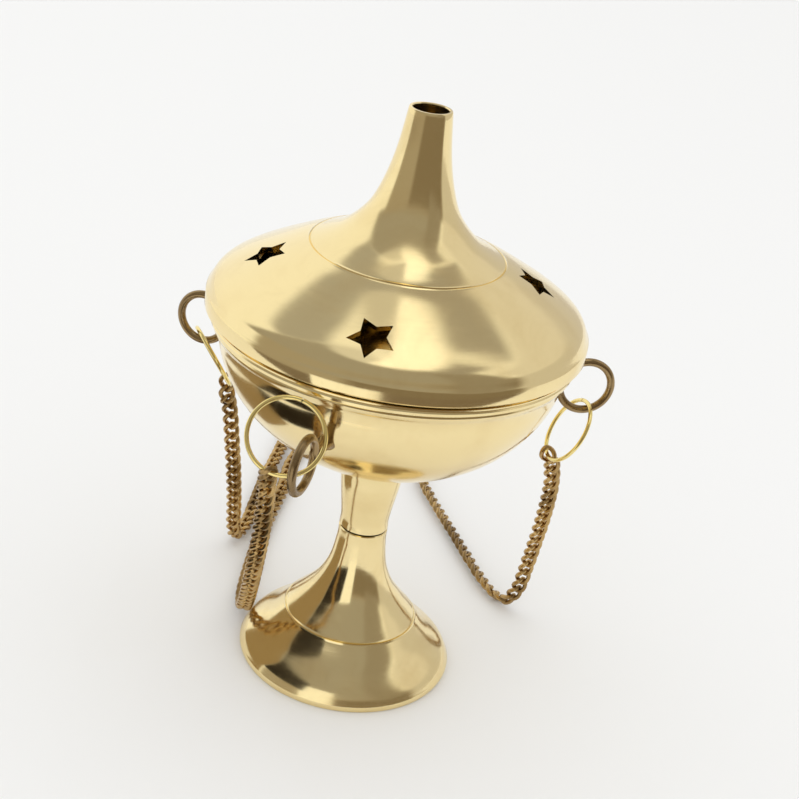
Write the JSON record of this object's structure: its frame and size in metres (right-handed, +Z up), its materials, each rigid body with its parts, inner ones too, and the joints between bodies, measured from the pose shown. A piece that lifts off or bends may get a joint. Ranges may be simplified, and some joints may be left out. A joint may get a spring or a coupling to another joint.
{
  "type": "thurible censer",
  "caption": "Small footed brass thurible: round bowl, lift-off conical lid with open spout and star vents, lugs with jump rings, and chains gathered on a hanging ring.",
  "frame": {"origin": "centre of the outline of the censer without its chains, on the surface it stands on; the turned axis is 0.7 mm to -X and 4.6 mm to +Y of it", "axes": "+Z up, -Y towards the side of the front lug, +X to the right, with the chains lying back towards +Y"},
  "size_m": [0.095, 0.1974, 0.1259],
  "materials": {
    "lid": "polished",
    "bowl": "polished",
    "stem": "polished",
    "foot": "polished",
    "fastening": "plain turned",
    "lug": "darkened, lightly polished",
    "jump_ring": "polished",
    "chain": "tumbled",
    "end_ring": "polished",
    "hanging_ring": "polished"
  },
  "bodies": {
    "base": {"bowl": "bowl", "stem": "stem", "foot": "foot", "tie_bolt": "fastening", "tie_washer": "fastening", "tie_nut": "fastening", "lug_front": "lug", "lug_right": "lug", "lug_left": "lug", "chain_front": "chain", "chain_right": "chain", "chain_left": "chain", "end_ring_front": "end_ring", "end_ring_right": "end_ring", "end_ring_left": "end_ring", "hanging_ring": "hanging_ring"},
    "lid": {"lid": "lid"},
    "jump_front": {"jump_ring_front": "jump_ring"},
    "jump_right": {"jump_ring_right": "jump_ring"},
    "jump_left": {"jump_ring_left": "jump_ring"}
  },
  "joints": [
    {"name": "lid_lift", "type": "slide", "parent": "base", "child": "lid", "axis": [0, 0, 1], "range_m": [0, 0.06]},
    {"name": "jump_front_swing", "type": "hinge", "parent": "base", "child": "jump_front", "pos_m": [-0.01325, -0.03778, 0.0732], "axis": [-0.284, -0.9588, 0], "range_deg": [-12, 12]},
    {"name": "jump_right_swing", "type": "hinge", "parent": "base", "child": "jump_right", "pos_m": [0.0412, 0.01427, 0.0639], "axis": [0.9744, 0.225, 0], "range_deg": [-12, 12]},
    {"name": "jump_left_swing", "type": "hinge", "parent": "base", "child": "jump_left", "pos_m": [-0.04179, 0.01795, 0.0641], "axis": [-0.9511, 0.309, 0], "range_deg": [-12, 12]}
  ]
}
